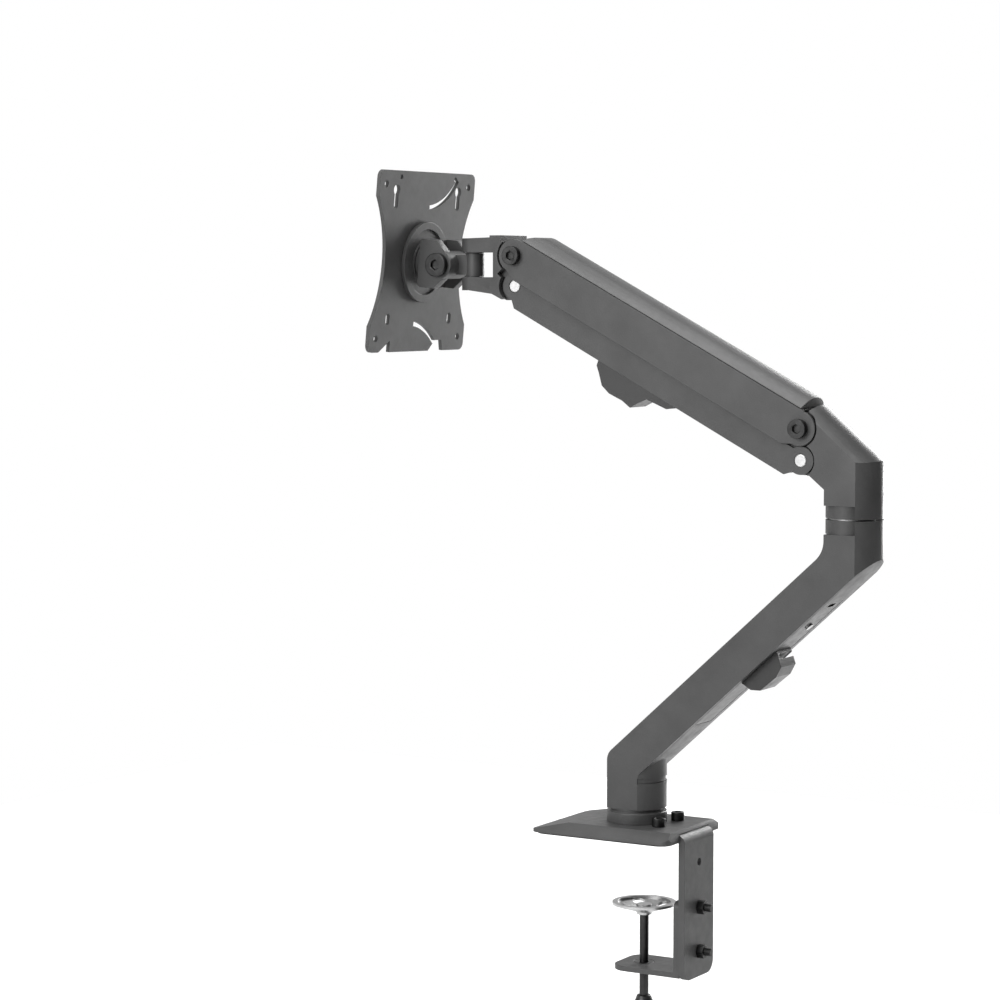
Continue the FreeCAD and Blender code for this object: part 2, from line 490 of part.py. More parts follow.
def build_elbow_bracket():
    rear = ("rear_y", "rear_z")
    low = ("rear_y", "rear_z - pivot_rise")
    crown = "crown_z + (crown_y - (%s)) * tan(crown_slope)"
    block = side_plate("bracket_block", [
        ("elbow_front", "flat_low"), ("elbow_front", "bracket_knee"), ("rear_y + 7", "bracket_front_z"),
        ("rear_y - 2", "bracket_front_z"), ("rear_y - 2", crown % "(rear_y - 2)"),
        ("elbow_y + 25", crown % "(elbow_y + 25)"), ("elbow_y + 25", "seam_high"), ("elbow_y + 8.9", "seam_high"),
        ("elbow_y + 8.9", "flat_low")], "bar_half")
    top = bind(doc.addObject("Part::Cylinder", "crown_round"), Radius="crown_radius", Height="160")
    slope = Placement(Vector(0, value("crown_y"), value("crown_z")),
                      Rotation(Vector(1, 0, 0), -value("crown_slope")))
    top.Placement = slope.multiply(Placement(Vector(0, -80, -value("crown_radius")), TURNS["Y"]))
    round_back = fuse("bracket_rounds", cylinder("bracket_neck_round", "neck_radius", "80", ("0", "elbow_y", "seam_high")),
                      cross_box("bracket_front_room", "30", ("rear_y - 40", "flat_low"), ("elbow_y", "300")))
    lower_part = cross_box("bracket_low_room", "30", ("60", "seam_high"), ("200", "bracket_knee + 4"))
    shell = common("bracket_shell", block, round_back)
    upper = common("bracket_upper", shell, top)
    under = common("bracket_under", shell, lower_part)
    neck = cylinder("bracket_neck", "neck_front_radius", "flat_low - seam_high", ("0", "elbow_y", "seam_high"))
    tongue = fuse("bracket_tongue",
                  cross_bar("tongue_high", "8.8", "tongue_half", rear),
                  cross_bar("tongue_low", "8.8", "tongue_half", low),
                  cross_box("tongue_web", "tongue_half", ("rear_y - 8.8", "rear_z - pivot_rise"), ("rear_y + 9", "rear_z")))
    raised = Placement(Vector(0, value("rear_y"), value("rear_z")), Rotation(Vector(1, 0, 0), -45))
    swing = turned_box("cover_swing", "40", ("-40", "8.9"), ("-3.9", "40"), raised)
    web_swing = cut("web_swing", turned_box("web_swing_room", "40", ("-40", "-10"), ("-3.9", "9"), raised),
                    cross_bar("web_swing_core", "9.9", "60", rear))
    cheeks = layer("cheek_swing", fuse("cheek_tools",
                   cross_bar("cheek_end_round", "cheek_end + 1.1", "40", rear),
                   cross_bar("lower_end_round", "10.4", "40", low),
                   turned_box("cheek_top_swing", "40", ("-40", "7"), ("0.3", "11.5"), raised),
                   cross_box("cheek_front", "40", ("rear_y - 40", "bracket_front_z - 2"), ("rear_y", "rear_z + 2")),
                   pie("cheek_pie", "16.4", "0", "112", rear),
                   pie("lower_pie", "14.9", "0", "112", low)))
    body = cut("bracket_body", fuse("bracket_mass", upper, under, neck), cheeks)
    whole = fuse("bracket_whole", body, tongue)
    ways = [swing, web_swing,
            cross_box("strut_slot", "slot_half", ("rear_y - 20", "bracket_front_z - 8"), ("rear_y + 13.5", "rear_z + 7")),
            cross_bar("rear_stub_way", "stub_radius + 0.02", "40", rear),
            cross_bar("rear_pin_way", "stub_radius + 0.02", "40", low),
            cross_bar("anchor_way", "anchor_radius + 0.02", "40", ("rear_y", "rear_z - anchor_drop")),
            cylinder("bracket_bush_way", "8", "23", ("0", "elbow_y", "seam_high - 1")),
            cylinder("bracket_nut_way", "9.5", "10.2", ("0", "elbow_y", "seam_low + 22.8"))]
    node("elbow_bracket", cut("elbow_bracket_piece", whole, *ways))
    node("elbow_bush", cut("elbow_bush_piece", cylinder("elbow_bush_barrel", "8", "21.4", ("0", "elbow_y", "seam_high")),
                           cylinder("elbow_bush_bore", "shaft_radius + running", "60", ("0", "elbow_y", "seam_low - 9"))))


def stub_pair(label, head_radius, head_out, shank_radius, inner, outer, y, z, socket=None):
    """A left and a right stub along X, each with a head outside the cheek."""
    stubs = []
    for side, turn in (("left", "-"), ("right", "")):
        low = "-(%s)" % outer if turn else inner
        pieces = [cylinder("%s_shank_%s" % (label, side), shank_radius, "(%s) - (%s)" % (outer, inner),
                           (low, y, z), "X")]
        if head_radius:
            start = "-(%s) - (%s)" % (outer, head_out) if turn else outer
            pieces.append(cylinder("%s_head_%s" % (label, side), head_radius, head_out, (start, y, z), "X"))
        whole = fuse("%s_whole_%s" % (label, side), *pieces) if len(pieces) > 1 else pieces[0]
        if socket:
            start = "-(%s) - (%s) - 1" % (outer, head_out) if turn else "(%s) + (%s) - 2.2" % (outer, head_out)
            whole = cut("%s_cut_%s" % (label, side), whole,
                        prism("%s_socket_%s" % (label, side), socket, "3.2", (start, y, z), "X"))
        stubs.append(whole)
    pair = doc.addObject("Part::Compound", label + "_piece")
    pair.Links = stubs
    node(label, pair)


def washer_pair(label, radius, bore, inner, outer, y, z):
    rings = []
    for side, start in (("left", "-(%s)" % outer), ("right", inner)):
        rings.append(cut("%s_%s" % (label, side),
                         cylinder("%s_disc_%s" % (label, side), radius, "(%s) - (%s)" % (outer, inner), (start, y, z), "X"),
                         cylinder("%s_way_%s" % (label, side), bore, "(%s) - (%s) + 4" % (outer, inner),
                                  (start + " - 2", y, z), "X")))
    pair = doc.addObject("Part::Compound", label + "_piece")
    pair.Links = rings
    node(label, pair)


def build_pivots():
    for place, y, z in (("rear", "rear_y", "rear_z"), ("front", FRONT_Y, FRONT_Z)):
        stub_pair(place + "_pivot_bolts", "6", "4", "stub_radius", "slot_half + 0.2", "bar_half + 0.3", y, z, "5")
        washer_pair(place + "_pivot_washers", "7", "stub_radius + running", "tongue_half + 0.15",
                    "bar_half - cheek_thick - 0.15", y, z)
        stub_pair(place + "_pivot_pins", None, None, "stub_radius", "slot_half + 0.2", "inner_high + 0.1",
                  y, z + " - pivot_rise")
    node("strut_anchor_pin", cross_bar("anchor_pin_piece", "anchor_radius", "tongue_half - 0.1",
                                       ("rear_y", "rear_z - anchor_drop")))


# ---------------------------------------------------------------- parallel link
def build_main_link():
    length = "(-link_length)"
    outer = side_plate("link_outer", [
        ("-2", "cheek_top"), (length + " + 2", "cheek_top"), (length, "-cheek_end"), (length + " + 7", "cheek_foot"),
        ("-7", "cheek_foot"), ("0", "-cheek_end")], "bar_half")
    inner = side_plate("link_inner", [
        ("20", "cheek_top - cheek_thick"), (length + " - 20", "cheek_top - cheek_thick"),
        (length + " - 20", "-40"), ("20", "-40")], "bar_half - cheek_thick")
    ends = [cross_bar("link_end_" + name, "cheek_end", "bar_half", (at, "0")) for name, at in (("rear", "0"), ("front", length))]
    web_end = cross_box("web_rear_room", "bar_half - cheek_thick", ("-4.3", "5"), ("9", "20"))
    web_front = cross_box("web_front_room", "bar_half - cheek_thick", (length + " - 9", "5"), (length + " + 3", "20"))
    ways = [cross_bar("link_bolt_rear", "stub_radius + running", "40", ("0", "0")),
            cross_bar("link_bolt_front", "stub_radius + running", "40", (length, "0"))]
    node("main_link", cut("main_link_piece", fuse("link_blank", outer, *ends), inner, web_end, web_front, *ways), LINK)


def build_link_cover():
    top = "(cheek_top + 0.3 + cover_rise)"
    crown = "((bar_half * bar_half + cover_rise * cover_rise) / 2 / cover_rise)"
    slab = side_plate("cover_slab", [
        ("cover_rear", "cheek_top + 0.3"), ("cover_rear", top), ("cover_front + 16", top),
        ("cover_front + 9", top + " - 0.9"), ("cover_front + 4", top + " - 2.6"), ("cover_front + 1", top + " - 4.8"),
        ("cover_front", "cheek_top + 0.3")],
        "bar_half")
    top_round = cylinder("cover_round", crown, "300", ("0", "-270", top + " - " + crown), "Y")
    skin = common("cover_skin", slab, top_round)
    hollow = common("cover_hollow",
                    side_plate("cover_hollow_slab", [
                        ("cover_rear - 2", "cheek_top"), ("cover_rear - 2", top + " - 2"),
                        ("cover_front + 16", top + " - 2"), ("cover_front + 4", top + " - 5.2"),
                        ("cover_front + 4", "cheek_top")], "bar_half - 2"),
                    cylinder("cover_hollow_round", crown + " - 2", "300", ("0", "-270", top + " - " + crown), "Y"))
    node("link_cover", cut("link_cover_piece", skin, hollow), LINK)
    clips = [cross_box("cover_clip_%d" % number, "9", (at, "cheek_top"), (at + " + 12", "cheek_top + 2.4"))
             for number, at in enumerate(("-60", "-160"))]
    pair = doc.addObject("Part::Compound", "cover_clips_piece")
    pair.Links = clips
    node("cover_clips", pair, LINK)


def build_lower_link():
    length = "(-link_length)"
    outer = side_plate("lower_outer", [
        ("0", "lower_top"), (length, "lower_top"), (length, "-7"), (length + " + 6", "lower_foot"),
        ("-6", "lower_foot"), ("0", "-7")], "inner_high")
    inner = side_plate("lower_inner", [
        ("20", "lower_foot + 2"), (length + " - 20", "lower_foot + 2"), (length + " - 20", "40"), ("20", "40")],
        "inner_low")
    ends = [cross_bar("lower_end_" + name, "8.8", "inner_high", (at, "0")) for name, at in (("rear", "0"), ("front", length))]
    end_rooms = [cross_box("lower_room_" + name, "inner_low", (low, "-20"), (high, "20"))
                 for name, low, high in (("rear", "-6.5", "20"), ("front", length + " - 20", length + " + 6.5"))]
    ways = [cross_bar("lower_way_rear", "stub_radius + running", "40", ("0", "0")),
            cross_bar("lower_way_front", "stub_radius + 0.15", "40", (length, "0"))]
    node("lower_link", cut("lower_link_piece", fuse("lower_blank", outer, *ends), inner, *end_rooms, *ways), LOWER)
    shell = [("-42", "0"), ("-41.5", "-4.4"), ("-38", "-7.7"), ("-32.3", "-13.9"), ("-25.5", "-15.9"), ("-15", "-15.4"),
             ("-8", "-16.6"), ("-4", "-11"), ("0", "-6.3"), ("15", "-5"), ("22", "0")]
    room = [("-47", "-2"), ("-47", "-4.2"), ("-39", "-4.8"), ("-31.4", "-12.4"), ("-25.3", "-14.1"), ("-15", "-13.6"),
            ("-9", "-14.6"), ("-5.5", "-10.2"), ("-1", "-4.8"), ("27", "-3.4"), ("27", "-2")]
    clip = clip_piece("upper_clip", shell, room)
    place = LOWER.multiply(Placement(Vector(0, -112, value("lower_foot")), Rotation()))
    node("upper_cable_clip", clip, place)


def build_strut():
    tube_start = "15"
    tube = cut("strut_tube_piece",
               cylinder("strut_tube_outside", "tube_radius", "tube_end - 8 - (%s)" % tube_start, ("0", tube_start, "0"), "Y"),
               cylinder("strut_tube_inside", "tube_radius - 1.2", "tube_end", ("0", "18", "0"), "Y"))
    node("strut_tube", tube, STRUT)
    node("strut_guide", cut("strut_guide_piece",
                            cylinder("guide_body", "tube_radius", "8", ("0", "tube_end - 8", "0"), "Y"),
                            cylinder("guide_bore", "rod_radius + running", "40", ("0", "tube_end - 20", "0"), "Y")), STRUT)
    reach = "%.4f" % STRUT_LENGTH
    rod = fuse("strut_rod_whole",
               cylinder("rod_bar", "rod_radius", reach + " - 6 - 130", ("0", "130", "0"), "Y"),
               cylinder("rod_piston", "tube_radius - 1.3", "6", ("0", "130", "0"), "Y"))
    node("strut_rod", rod, STRUT)
    eye = cut("strut_eye_piece",
              cross_box("eye_block", "4.8", (reach + " - 8.5", "-7.4"), (reach + " + 6.8", "8")),
              cross_box("eye_slot", "8", (reach + " - 4.75", "-4.75"), (reach + " + 4.2", "5.4")),
              cylinder("eye_socket", "rod_radius", "10", ("0", reach + " - 16", "0"), "Y"))
    node("strut_eye", eye, STRUT)
    node("tension_block", cut("tension_block_piece",
                              cylinder("tension_barrel", "tube_radius", "8", ("0", "7", "0"), "Y"),
                              cylinder("tension_thread", "3.05", "12", ("0", "3", "0"), "Y")), STRUT)
    screw = fuse("tension_screw_whole", cylinder("tension_head", "5", "4", ("0", "-7.1", "0"), "Y"),
                 cylinder("tension_shank", "3", "14.6", ("0", "-3.2", "0"), "Y"))
    node("tension_screw", cut("tension_screw_piece", screw, prism("tension_socket", "5", "3", ("0", "-7.6", "0"), "Y")), STRUT)
    node("strut_bridge", cut("strut_bridge_piece",
                             cross_box("bridge_plate", "bar_half - cheek_thick", ("-3", "-4.6"), ("1", "9")),
                             cylinder("bridge_way", "3.1", "12", ("0", "-6", "0"), "Y")), STRUT)


# ---------------------------------------------------------------- head
def build_head_bracket():
    top = (FRONT_Y, FRONT_Z)
    low = (FRONT_Y, FRONT_Z + " - pivot_rise")
    wall = "(swivel_y + 21)"
    block = side_plate("head_block", [
        (wall, "fork_low - 10"), (wall + " + 10", FRONT_Z + " - pivot_rise - 9"), (FRONT_Y, FRONT_Z + " - pivot_rise - 9"),
        (FRONT_Y, "head_top"), (wall, "head_top")], "bar_half")
    fork = side_plate("head_fork", [
        ("swivel_y", "fork_low - 8.5"), (wall + " + 6", "fork_low - 12"), (wall + " + 6", "head_top - 0.8"),
        ("swivel_y", "head_top - 1.6")], "lug_radius")
    lugs = common("head_lugs", cylinder("lug_round", "lug_radius", "60", ("0", "swivel_y", "330")),
                  cross_box("lug_room", "30", ("swivel_y - 20", "fork_low - 8.5"), ("swivel_y + 20", "head_top - 1.6")))
    cheeks = layer("head_swing", fuse("head_tools",
                   cross_bar("head_end_high", "cheek_end + 1.1", "40", top),
                   cross_bar("head_end_low", "10.4", "40", low),
                   cross_box("head_rear_room", "40", (FRONT_Y + " - 4.6", FRONT_Z + " - 10"), (FRONT_Y + " + 30", "head_top + 20")),
                   pie("head_pie", "16.4", "45", "140", top),
                   pie("head_low_pie", "14.9", "45", "140", low)))
    top_room = cross_box("head_top_room", "40", (FRONT_Y + " - 9.2", FRONT_Z + " + 8.8"), (FRONT_Y + " + 40", "head_top + 20"))
    tongue = fuse("head_tongue", cross_bar("head_tongue_high", "8.8", "tongue_half", top),
                  cross_bar("head_tongue_low", "8.8", "tongue_half", low),
                  cross_box("head_tongue_web", "tongue_half", (FRONT_Y + " - 9", FRONT_Z + " - pivot_rise"),
                            (FRONT_Y + " + 8.8", FRONT_Z)))
    whole = fuse("head_whole", cut("head_mass", block, cheeks, top_room), fork, lugs, tongue)
    ways = [cross_box("fork_gap", "60", ("swivel_y - 30", "fork_low"), (wall + " + 2.5", "fork_high")),
            cross_box("key_slot", "slot_half", (wall + " - 4", "fork_low + 1"), (FRONT_Y + " + 20", "fork_high - 2")),
            cross_box("strut_room", "slot_half", (FRONT_Y + " - 2", FRONT_Z + " - pivot_rise - 20"),
                      (FRONT_Y + " + 20", FRONT_Z + " + 20")),
            cylinder("swivel_way", "3.02", "80", ("0", "swivel_y", "320")),
            cylinder("swivel_head_way", "5.2", "10", ("0", "swivel_y", "head_top - 4.2")),
            cross_bar("front_stub_way", "stub_radius + 0.02", "40", top),
            cross_bar("front_pin_way", "stub_radius + 0.02", "40", low)]
    node("head_bracket", cut("head_bracket_piece", whole, *ways))


def build_swivel():
    at = ("0", "swivel_y")
    pin = fuse("swivel_pin_whole", cylinder("swivel_shank", "3", "head_top - 4.2 - fork_low + 8", at + ("fork_low - 8",)),
               cylinder("swivel_head", "5", "2.6", at + ("head_top - 4.2",)))
    node("swivel_pin", cut("swivel_pin_piece", pin, prism("swivel_socket", "4", "3", at + ("head_top - 3.4",))))
    for label, low in (("swivel_washer_top", "fork_high - 0.5"), ("swivel_washer_bottom", "fork_low")):
        node(label, cut(label + "_piece", cylinder(label + "_disc", "barrel_radius - 0.3", "0.5", at + (low,)),
                        cylinder(label + "_way", "3", "6", at + (low + " - 3",))))
    barrel = cylinder("yoke_barrel", "barrel_radius", "fork_high - fork_low - 1.2", at + ("fork_low + 0.6",))
    neck = cross_box("yoke_neck", "5", ("tilt_y", "tilt_z - 6.4"), ("swivel_y", "tilt_z + 6.4"))
    eye = cross_bar("yoke_eye", "ear_radius - 0.3", "ear_low - 0.7", ("tilt_y", "tilt_z"))
    node("swivel_yoke", cut("swivel_yoke_piece", fuse("yoke_whole", barrel, neck, eye),
                            cylinder("yoke_way", "3.06", "60", at + ("340",)),
                            cross_bar("yoke_bolt_way", "4.06", "40", ("tilt_y", "tilt_z"))))


def build_tilt_head():
    side = side_plate("head_side", [
        ("-2.5", "15.7"), ("hub_front", "15.7"), ("hub_front", "-15.7"), ("-2.5", "-15.7"), ("4", "-9.2"),
        ("4", "9.2")], "ear_high")
    ears = cross_bar("ear_round", "ear_radius", "ear_high", ("0", "0"))
    room = cross_box("yoke_room", "ear_low - 0.1", ("-10.4", "-30"), ("30", "30"))
    flange = cylinder("hub_flange", "13.5", "2.6", ("0", "hub_front - 2.6", "0"), "Y")
    rounded = round_edges("head_side_rounded", side, "2.5", lambda edge, middle, along:
                          abs(along.x) > 0.9 and middle.y < value("-3") and abs(middle.z) > 10)
    node("tilt_head", cut("tilt_head_piece", fuse("tilt_whole", rounded, ears, flange), room,
                          cross_bar("tilt_bolt_way", "4.02", "40", ("0", "0")),
                          cylinder("hub_bolt_way", "4.02", "30", ("0", "-29", "0"), "Y"),
                          cylinder("hub_head_way", "7.4", "6", ("0", "-13.2", "0"), "Y")), HEAD)
    bolt = fuse("tilt_bolt_whole", cylinder("tilt_head_disc", "7.6", "4.2", ("ear_high", "0", "0"), "X"),
                cylinder("tilt_shank", "4", "2 * ear_high + 6", ("-ear_high - 6", "0", "0"), "X"))
    node("tilt_bolt", cut("tilt_bolt_piece", bolt, prism("tilt_socket", "6", "4", ("ear_high + 1.8", "0", "0"), "X")), HEAD)
    node("tilt_nut", cut("tilt_nut_piece", prism("tilt_hex", "12", "5.2", ("-ear_high - 5.2", "0", "0"), "X"),
                         cylinder("tilt_hex_way", "4", "12", ("-ear_high - 8", "0", "0"), "X")), HEAD)
    washers = []
    for name, start in (("left", "0.15 - ear_low"), ("right", "ear_low - 0.65")):
        washers.append(cut("tilt_washer_" + name, cylinder("tilt_washer_disc_" + name, "8.8", "0.5", (start, "0", "0"), "X"),
                           cylinder("tilt_washer_way_" + name, "4.05", "5", (start + " - 2", "0", "0"), "X")))
    pair = doc.addObject("Part::Compound", "tilt_washers_piece")
    pair.Links = washers
    node("tilt_washers", pair, HEAD)


def build_plate():
    front, back = "-24.4", "-21.9"
    sheet = box("vesa_sheet", ("-plate_side", front, "-plate_rise"), ("plate_side", back, "plate_rise"))
    rounded = round_edges("vesa_rounded", sheet, "5", lambda edge, middle, along: abs(along.y) > 0.9)
    ways = [cylinder("waist_" + side, "waist_radius", "20", (sign + "(waist_half + waist_radius)", "-30", "0"), "Y")
            for side, sign in (("left", "-"), ("right", ""))]
    for number, (x, z) in enumerate(((-1, -1), (-1, 1), (1, -1), (1, 1))):
        ways.append(cylinder("large_hole_%d" % number, "vesa_hole", "20", ("%d * vesa_large" % x, "-30", "%d * vesa_large" % z), "Y"))
    for number, x in enumerate((-1, 1)):
        small = "%d * vesa_small" % x
        ways += [cylinder("small_low_%d_%d" % (number, end), "vesa_hole", "20", (small, "-30", "%d * 1.6 - vesa_small" % end), "Y")
                 for end in (-1, 1)]
        ways.append(box("small_low_slot_%d" % number, (small + " - vesa_hole", "-30", "-vesa_small - 1.6"),
                        (small + " + vesa_hole", "-10", "1.6 - vesa_small")))
        ways += [cylinder("key_round_%d" % number, "3.6", "20", (small, "-30", "vesa_small + 9"), "Y"),
                 cylinder("key_end_%d" % number, "vesa_hole", "20", (small, "-30", "vesa_small - 1"), "Y"),
                 box("key_slot_%d" % number, (small + " - vesa_hole", "-30", "vesa_small - 1"),
                     (small + " + vesa_hole", "-10", "vesa_small + 9"))]
        ways.append(cylinder("tie_hole_%d" % number, "1.6", "20", ("%d * 33" % x, "-30", "plate_rise - 4"), "Y"))
    ways += [extrude("edge_notch_left", "XZ_Plane", [("46", "-plate_rise - 0.1"), ("33", "-plate_rise - 0.1"),
                                                     ("33", "-51.5")], "80"),
             extrude("edge_notch_right", "XZ_Plane", [("-14", "-plate_rise - 0.1"), ("-32", "-plate_rise - 0.1"),
                                                      ("-30", "-52"), ("-22", "-52")], "80")]
    ways += curved_slot("hook_slot_top", ("1.3", "81.6"), "46.2", 216.2, 264.2, "1.6")
    ways += curved_slot("hook_slot_bottom", ("11.6", "-86.6"), "46.3", 97, 138.4, "1.6")
    ways.append(cylinder("vesa_bolt_way", "4.06", "20", ("0", "-30", "0"), "Y"))
    node("vesa_plate", cut("vesa_plate_piece", rounded, *ways), HEAD)
    ring = cylinder("disc_blank", "disc_plate_radius", "2.6", ("0", "-21.7", "0"), "Y")
    node("rotation_disc", cut("rotation_disc_piece", ring, cylinder("disc_way", "4.06", "20", ("0", "-30", "0"), "Y"),
                              cut("disc_recess", cylinder("disc_recess_out", "21.5", "2", ("0", "-20.1", "0"), "Y"),
                                  cylinder("disc_recess_in", "15", "9", ("0", "-24", "0"), "Y"))), HEAD)
    node("friction_washer", cut("friction_washer_piece", cylinder("friction_disc", "13.2", "1.3", ("0", "-19", "0"), "Y"),
                                cylinder("friction_way", "4.06", "9", ("0", "-23", "0"), "Y")), HEAD)
    hub = fuse("hub_bolt_whole", cylinder("hub_bolt_head", "7.2", "3.5", ("0", "-28", "0"), "Y"),
               cylinder("hub_bolt_shank", "4", "14.4", ("0", "-25", "0"), "Y"))
    node("hub_bolt", cut("hub_bolt_piece", hub, prism("hub_socket", "5", "2.4", ("0", "-28.4", "0"), "Y")), HEAD)
    node("hub_nut", cut("hub_nut_piece", prism("hub_hex", "12.4", "2.4", ("0", "-13.1", "0"), "Y"),
                        cylinder("hub_hex_way", "4", "9", ("0", "-16", "0"), "Y")), HEAD)


def curved_slot(name, centre, radius, start, stop, half):
    """An arc-shaped slot through the plate: a ring cut down to a span of angles, in degrees."""
    ring = bind(doc.addObject("Part::Cylinder", name + "_ring"), Radius="(%s) + (%s)" % (radius, half), Height="20",
                Angle=stop - start)
    turn = TURNS["Y"].multiply(Rotation(Vector(0, 0, 1), -stop))
    ring.Placement = Placement(Vector(value(centre[0]), -30, value(centre[1])), turn)
    core = cylinder(name + "_core", "(%s) - (%s)" % (radius, half), "30", (centre[0], "-35", centre[1]), "Y")
    return [cut(name, ring, core)]


build_base_plate()
build_base_pad()
build_clamp_bracket()
build_bracket_screws()
build_jaw()
build_jaw_fasteners()
build_clamp_screw()
build_base_swivel()
build_lower_arm()
build_underside()
build_elbow_shaft()
build_elbow_bracket()
build_pivots()
build_main_link()
build_link_cover()
build_lower_link()
build_strut()
build_head_bracket()
build_swivel()
build_tilt_head()
build_plate()
doc.recompute()

failed = [thing.Name for thing in doc.Objects if "Invalid" in thing.State or "Error" in thing.State]
if failed:
    raise SystemExit("failed: " + ", ".join(failed))
for label, thing in nodes.items():
    if thing.Shape.isNull() or not thing.Shape.isValid() or not thing.Shape.Solids:
        raise SystemExit("bad shape: " + label)

os.makedirs("parts", exist_ok=True)
for label, thing in nodes.items():
    thing.Shape.exportStep("parts/%s.step" % label)
    print("%-22s %2d solid(s) %10.1f mm3" % (label, len(thing.Shape.Solids), thing.Shape.Volume))
print(len(nodes), "nodes")
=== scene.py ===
"""Looks of the desk-clamp monitor arm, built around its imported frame.

Metres, +Z up, the screen side at -Y, the elbow at +Y.
"""

import json
import math

import bmesh
import bpy
from mathutils import Matrix, Vector


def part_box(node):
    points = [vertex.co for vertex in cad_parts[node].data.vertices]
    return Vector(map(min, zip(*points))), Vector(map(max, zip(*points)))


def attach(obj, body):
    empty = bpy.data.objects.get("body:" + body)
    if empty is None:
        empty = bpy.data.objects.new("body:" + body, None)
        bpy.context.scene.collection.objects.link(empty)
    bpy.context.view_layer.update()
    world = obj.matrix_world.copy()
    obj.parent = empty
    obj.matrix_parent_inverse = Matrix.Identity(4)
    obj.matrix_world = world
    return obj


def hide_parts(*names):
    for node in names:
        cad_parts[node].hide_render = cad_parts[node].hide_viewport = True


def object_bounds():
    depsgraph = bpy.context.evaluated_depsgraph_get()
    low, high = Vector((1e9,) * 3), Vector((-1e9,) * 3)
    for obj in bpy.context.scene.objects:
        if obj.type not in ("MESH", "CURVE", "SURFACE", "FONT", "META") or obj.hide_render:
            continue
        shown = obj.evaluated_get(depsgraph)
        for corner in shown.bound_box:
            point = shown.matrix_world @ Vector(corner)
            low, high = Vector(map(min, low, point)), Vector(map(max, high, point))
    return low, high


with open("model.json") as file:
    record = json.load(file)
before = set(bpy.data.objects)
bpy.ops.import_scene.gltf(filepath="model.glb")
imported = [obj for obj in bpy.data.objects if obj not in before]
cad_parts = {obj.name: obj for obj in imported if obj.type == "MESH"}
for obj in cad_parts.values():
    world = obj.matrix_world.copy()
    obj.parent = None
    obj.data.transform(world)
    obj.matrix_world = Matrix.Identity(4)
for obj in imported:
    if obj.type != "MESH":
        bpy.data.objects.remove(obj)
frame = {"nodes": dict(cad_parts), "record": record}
cad_low, cad_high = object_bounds()
NODES = frame["nodes"]
BODY_OF = {node: body for body, nodes in frame["record"]["behaviour"]["bodies"].items() for node in nodes}
SLOT_OF = {part["node"]: part["material_slot"] for part in frame["record"]["subparts"]}
MM = 0.001
MERGE_WITHIN = 1e-6                 # metres


# ---------------------------------------------------------------- finishes
class Finish:
    """A material under construction: one Principled shader and the nodes that feed it."""

    def __init__(self, name, rough, metal=0.0, specular=0.5):
        self.material = bpy.data.materials.new(name)
        self.material.use_nodes = True
        self.tree = self.material.node_tree
        self.tree.nodes.clear()
        out = self.tree.nodes.new("ShaderNodeOutputMaterial")
        self.skin = self.tree.nodes.new("ShaderNodeBsdfPrincipled")
        self.skin.inputs["Roughness"].default_value = rough
        self.skin.inputs["Metallic"].default_value = metal
        self.skin.inputs["Specular IOR Level"].default_value = specular
        self.tree.links.new(self.skin.outputs[0], out.inputs[0])
        self.place = self.tree.nodes.new("ShaderNodeTexCoord").outputs["Object"]
        self.height = None

    def link(self, start, end):
        self.tree.links.new(start, end)

    def stretched(self, scale):
        spread = self.tree.nodes.new("ShaderNodeMapping")
        spread.inputs["Scale"].default_value = scale
        self.link(self.place, spread.inputs["Vector"])
        return spread.outputs[0]

    def noise(self, per_metre, detail=3.0, rough=0.55, place=None):
        grain = self.tree.nodes.new("ShaderNodeTexNoise")
        grain.inputs["Scale"].default_value = per_metre
        grain.inputs["Detail"].default_value = detail
        grain.inputs["Roughness"].default_value = rough
        self.link(place or self.place, grain.inputs["Vector"])
        return grain.outputs["Fac"]

    def ramp(self, factor, stops):
        spread = self.tree.nodes.new("ShaderNodeValToRGB")
        points = spread.color_ramp.elements
        while len(points) < len(stops):
            points.new(0.5)
        for point, (at, colour) in zip(points, stops):
            point.position = at
            point.color = (*colour, 1.0) if isinstance(colour, tuple) else (colour, colour, colour, 1.0)
        self.link(factor, spread.inputs[0])
        return spread.outputs[0]

    def colour(self, factor, stops):
        self.link(self.ramp(factor, stops), self.skin.inputs["Base Color"])

    def gloss(self, factor, low, high):
        self.link(self.ramp(factor, [(0.3, low), (0.7, high)]), self.skin.inputs["Roughness"])

    def bump(self, factor, strength, depth):
        press = self.tree.nodes.new("ShaderNodeBump")
        press.inputs["Strength"].default_value = strength
        press.inputs["Distance"].default_value = depth
        self.link(factor, press.inputs["Height"])
        if self.height is not None:
            self.link(self.height, press.inputs["Normal"])
        self.height = press.outputs[0]
        self.link(self.height, self.skin.inputs["Normal"])


def powder_coat(name, tone, rough):
    """Fine-textured powder coat with a faint orange peel."""
    coat = Finish(name, rough, specular=0.32)
    coat.colour(coat.noise(45.0, 4.0), [(0.3, tone * 0.88), (0.7, tone * 1.12)])
    coat.gloss(coat.noise(160.0, 3.0), rough - 0.05, rough + 0.06)
    coat.bump(coat.noise(900.0, 2.0), 0.35, 0.00012)
    coat.bump(coat.noise(3200.0, 2.0), 0.4, 0.00005)
    return coat.material


def metal(name, light, dark, rough, streak):
    """Plated or blackened steel, with fine turning or drawing marks."""
    steel = Finish(name, rough, metal=1.0)
    marks = steel.noise(260.0, 4.0, place=steel.stretched(streak))
    steel.colour(marks, [(0.3, dark), (0.7, light)])
    steel.gloss(steel.noise(90.0, 3.0), rough - 0.06, rough + 0.08)
    steel.bump(marks, 0.12, 0.00006)
    return steel.material


